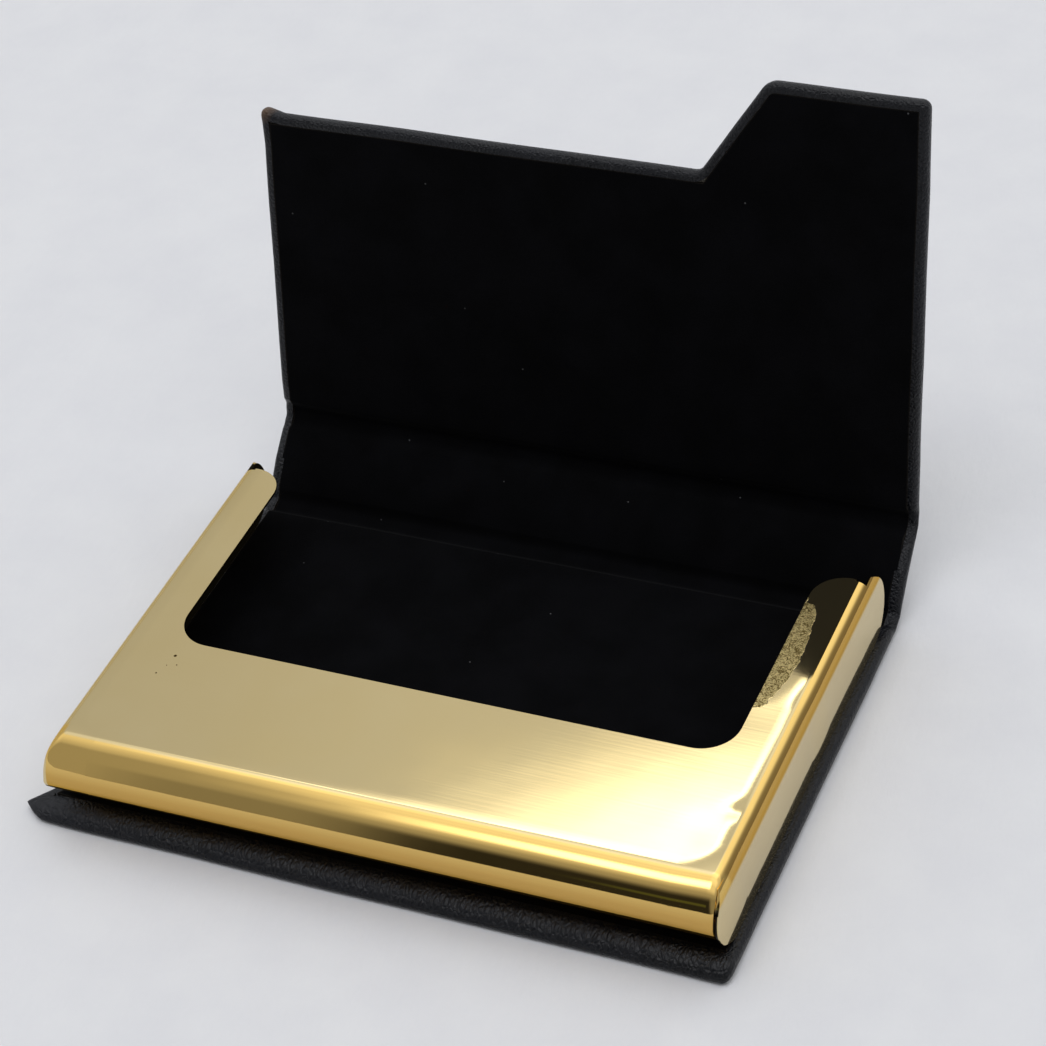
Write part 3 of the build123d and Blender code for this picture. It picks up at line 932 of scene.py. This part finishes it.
def goldMaterial():
    # stainless sheet, gold-coated in vacuum: the flat faces are finely brushed along x and hazed by
    # handling, the bends are drawn bright and deeper in colour
    material, add = newMaterial("gold_coated_steel")
    metres = add("TexCoord").outputs["Object"]
    place = add("VectorMath", {0: metres, "Scale": 1 / mm}, operation="SCALE").outputs[0]
    parts = add("SeparateXYZ", {"Vector": place}).outputs
    outward = add("Math", {0: parts["X"]}, operation="ABSOLUTE").outputs[0]
    axes = {"X": parts["X"], "Y": parts["Y"], "Z": parts["Z"], "out": outward}

    # 1 on the named surfaces, fading to 0 beyond their ends
    def on(*names):
        total = 0.0
        for name in names:
            inside = 1.0
            for axis, none, full in surfaces[name]:
                edge = add("MapRange", {
                    "Value": axes[axis], "From Min": none, "From Max": full,
                }, interpolation_type="SMOOTHSTEP")
                inside = add("Math", {0: inside, 1: edge.outputs[0]}, operation="MULTIPLY").outputs[0]
            total = add("Math", {0: total, 1: inside}, operation="MAXIMUM").outputs[0]
        return total

    # 0 at a mark's middle, 1 at its rim
    def outOf(middle, half):
        offset = add("Mapping", {
            "Vector": place, "Scale": (1 / half[0], 1 / half[1], 0),
            "Location": (-middle[0] / half[0], -middle[1] / half[1], 0),
        })
        return add("VectorMath", {0: offset.outputs[0]}, operation="LENGTH").outputs["Value"]

    onPlate, onWall, flat = on("plate"), on("wall"), on("plate", "wall", "left bend")

    # brush lines are tens of millimetres long, the sheet swells gently between them
    lines = add("Mapping", {"Vector": place, "Scale": (
        1 / goldLook["brushLength"], 1 / goldLook["brushSpacing"], 1 / goldLook["brushSpacing"],
    )})
    brushing = add("TexNoise", {"Vector": lines.outputs[0], "Scale": 1, "Detail": 3})
    swell = add("TexNoise", {"Vector": place, "Scale": 1 / goldLook["swell"], "Detail": 1})
    relief = [
        (brushing.outputs["Fac"], goldLook["brushRelief"]), (swell.outputs["Fac"], goldLook["swellRelief"]),
    ]

    # towards its bends the plate dips a little more and more, and ends in a faint crease
    inner = crease["round"] + crease["width"]
    before = add("VectorMath", {
        0: place, 1: (crease["each mm"], -1, 0),
    }, operation="DOT_PRODUCT").outputs["Value"]
    past = add("CombineXYZ", {"X": outward, "Y": before}).outputs[0]
    for operation, value in (("ADD", (inner - crease["x"], crease["y"] + inner, 0)), ("MAXIMUM", (0, 0, 0))):
        past = add("VectorMath", {0: past, 1: value}, operation=operation).outputs[0]
    besides = add("SeparateXYZ", {"Vector": past}).outputs["X"]
    both = add("VectorMath", {0: past, 1: (1, 1, 0)}, operation="DOT_PRODUCT")
    share = add("Math", {0: besides, 1: both.outputs["Value"]}, operation="DIVIDE")
    tilt = add("MapRange", {
        "Value": share.outputs[0], "To Min": crease["tilt"]["front"], "To Max": crease["tilt"]["side"],
    }).outputs[0]
    dip = add("VectorMath", {0: past}, operation="LENGTH").outputs["Value"]
    for operation, value in (("SUBTRACT", crease["round"]), ("MAXIMUM", 0), ("POWER", 2), ("MULTIPLY", tilt)):
        dip = add("Math", {0: dip, 1: value}, operation=operation).outputs[0]
    relief.append((dip, -0.5 / crease["width"]))
    for middle, radius, depth in dents:
        out = add("Math", {0: outOf(middle, (radius, radius)), 1: 2}, operation="POWER")
        dip = add("Math", {0: exp(-1), 1: out.outputs[0]}, operation="POWER").outputs[0]
        relief.append((dip, -depth))

    # in its reflections the right arm is twisted by 2.6 degrees, and lifted by up to 2 towards its end
    twist = parts["X"]
    for operation, value in (("SUBTRACT", armTwist["x"]), ("MULTIPLY", on("twisted arm"))):
        twist = add("Math", {0: twist, 1: value}, operation=operation).outputs[0]
    lift = parts["Y"]
    for operation, value in (
        ("SUBTRACT", armTwist["liftFrom"]), ("MAXIMUM", 0), ("POWER", 2), ("MULTIPLY", on("right side")),
    ):
        lift = add("Math", {0: lift, 1: value}, operation=operation).outputs[0]
    relief += [(twist, armTwist["slope"]), (lift, armTwist["lift"])]

    # residue: a ragged patch, grainy and matt
    grains = add("TexNoise", {
        "Vector": place, "Scale": 1 / residue["grain"], "Detail": 3, "Distortion": 1.5,
    })
    ragged = add("TexNoise", {"Vector": place, "Scale": 1 / residue["tear"], "Detail": 3})
    rim = add("Math", {
        0: ragged.outputs["Fac"], 1: residue["ragged"], 2: outOf(residue["place"], residue["half"]),
    }, operation="MULTIPLY_ADD")
    patch = add("MapRange", {
        "Value": rim.outputs[0], "From Min": residue["rim"][0], "From Max": residue["rim"][1],
    }, interpolation_type="SMOOTHSTEP")
    grainy = add("Math", {0: patch.outputs[0], 1: onPlate}, operation="MULTIPLY").outputs[0]
    grit = add("Math", {0: grains.outputs["Fac"], 1: grainy}, operation="MULTIPLY")
    relief.append((grit.outputs[0], residue["relief"]))
    height = 0.0
    for amount, depth in relief:
        height = add("Math", {0: amount, 1: depth, 2: height}, operation="MULTIPLY_ADD").outputs[0]
    bump = add("Bump", {"Height": height, "Distance": mm})

    pitted = 0.0
    for middle, radius in pits:
        pit = add("MapRange", {
            "Value": outOf(middle, (radius, radius)), "From Min": goldLook["pitRim"][0],
            "From Max": goldLook["pitRim"][1],
        }, interpolation_type="SMOOTHSTEP")
        pitted = add("Math", {0: pit.outputs[0], 1: pitted}, operation="MAXIMUM").outputs[0]
    pitted = add("Math", {0: pitted, 1: onPlate}, operation="MULTIPLY").outputs[0]

    film = add("TexNoise", {"Vector": place, "Scale": 1 / goldLook["film"], "Detail": 4})
    hazed = add("ValToRGB", {"Fac": film.outputs["Fac"]}, stops=zip((0.3, 0.7), goldLook["hazed"]))
    grainColour = add("ValToRGB", {"Fac": grains.outputs["Fac"]}, stops=zip((0.42, 0.56), residue["colours"]))
    # over the outer side of the bends the coating is drawn thin and a deeper brown, and part of that brown is
    # painted shade for the darker reflections there; the same brown is painted shade on the roll's underside,
    # and the gap between the roll's right end and the wall is painted near black as shade
    colour = goldLook["drawn"]
    for cover, shade in (
        (on("outer bend", "low front"), goldLook["stretched"]), (flat, hazed.outputs[0]),
        (on("slit"), goldLook["slit"]), (grainy, grainColour.outputs[0]),
        (pitted, goldLook["pit"]),
    ):
        colour = add("Mix", {"Factor": cover, "A": colour, "B": shade}, data_type="RGBA").outputs["Result"]
    polish = add("ValToRGB", {"Fac": film.outputs["Fac"]}, stops=zip((0.35, 0.7), goldLook["polish"]))
    rough = polish.outputs[0]
    for cover, matt in ((grainy, residue["rough"]), (pitted, goldLook["pitRough"])):
        marked = add("Math", {0: cover, 1: matt}, operation="MULTIPLY")
        rough = add("Math", {0: marked.outputs[0], 1: rough}, operation="MAXIMUM").outputs[0]
    # the haze on the flat faces scatters a little light
    hazeless = add("MapRange", {"Value": flat, "To Min": 1.0, "To Max": 0.975})
    grazing = add("Mix", {"Factor": onWall, "A": goldLook["grazing"], "B": "FFFFFF"}, data_type="RGBA")
    return finishMaterial(material, {
        "Base Color": colour, "Metallic": hazeless.outputs[0], "Roughness": rough,
        "Specular Tint": grazing.outputs["Result"], "Normal": bump.outputs[0],
    })


def makeTray():
    tray = trayShape()
    settleSheet(tray)
    applyModifier(tray, "SOLIDIFY", thickness=traySizes["sheet"] * mm, offset=-1, use_even_offset=False)
    applyModifier(
        tray, "BEVEL", width=traySizes["edgeBevel"] * mm, segments=2, limit_method="ANGLE",
        angle_limit=radians(55),
    )
    smoothShading(tray, 35)
    applyModifier(tray, "WEIGHTED_NORMAL", keep_sharp=True, weight=100)
    giveMaterial(tray, goldMaterial())
    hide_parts("card_tray")
    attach(tray, "base")
    print("tray", len(tray.data.polygons), "faces")


makeTray()


# what is hidden inside keeps its solid and gets its own material
def boardMaterial():
    # pressed grey board, matt and fibrous
    material, add = newMaterial("pressed_grey_board")
    place = add("TexCoord").outputs["Object"]
    fibres = add("TexNoise", {"Vector": place, "Scale": 1 / (0.6 * mm), "Detail": 6})
    tone = add("ValToRGB", {"Fac": fibres.outputs["Fac"]}, stops=[(0.35, "8C857A"), (0.65, "A39C90")])
    bump = add("Bump", {"Height": fibres.outputs["Fac"], "Distance": 0.03 * mm})
    return finishMaterial(material, {
        "Base Color": tone.outputs[0], "Roughness": 0.9, "Normal": bump.outputs[0],
    })


def tapeMaterial():
    # black acrylic foam, matt with fine closed cells
    material, add = newMaterial("acrylic_foam_tape")
    place = add("TexCoord").outputs["Object"]
    cells = add("TexVoronoi", {"Vector": place, "Scale": 1 / (0.3 * mm)})
    tone = add("ValToRGB", {"Fac": cells.outputs["Distance"]}, stops=[(0.1, "141414"), (0.6, "242424")])
    bump = add("Bump", {"Height": cells.outputs["Distance"], "Distance": 0.05 * mm})
    return finishMaterial(material, {
        "Base Color": tone.outputs[0], "Roughness": 0.85, "Normal": bump.outputs[0],
    })


def magnetMaterial():
    # nickel plate over sintered magnet: warm grey metal, tumbled to a soft gloss
    material, add = newMaterial("nickel_plated_magnet")
    place = add("TexCoord").outputs["Object"]
    grain = add("TexNoise", {"Vector": place, "Scale": 1 / (0.4 * mm), "Detail": 4})
    rough = add("ValToRGB", {"Fac": grain.outputs["Fac"]}, stops=[(0.3, 0.22), (0.7, 0.38)])
    bump = add("Bump", {"Height": grain.outputs["Fac"], "Distance": 0.01 * mm})
    return finishMaterial(material, {
        "Base Color": "CFCBC2", "Metallic": 1.0, "Roughness": rough.outputs[0],
        "Normal": bump.outputs[0],
    })


for names, material in (
    (("base_board", "spine_board", "cover_board"), boardMaterial()),
    (("tray_tape",), tapeMaterial()),
    (("cover_magnet",), magnetMaterial()),
):
    for name in names:
        giveMaterial(frame["nodes"][name], material)

print("all pieces are made")
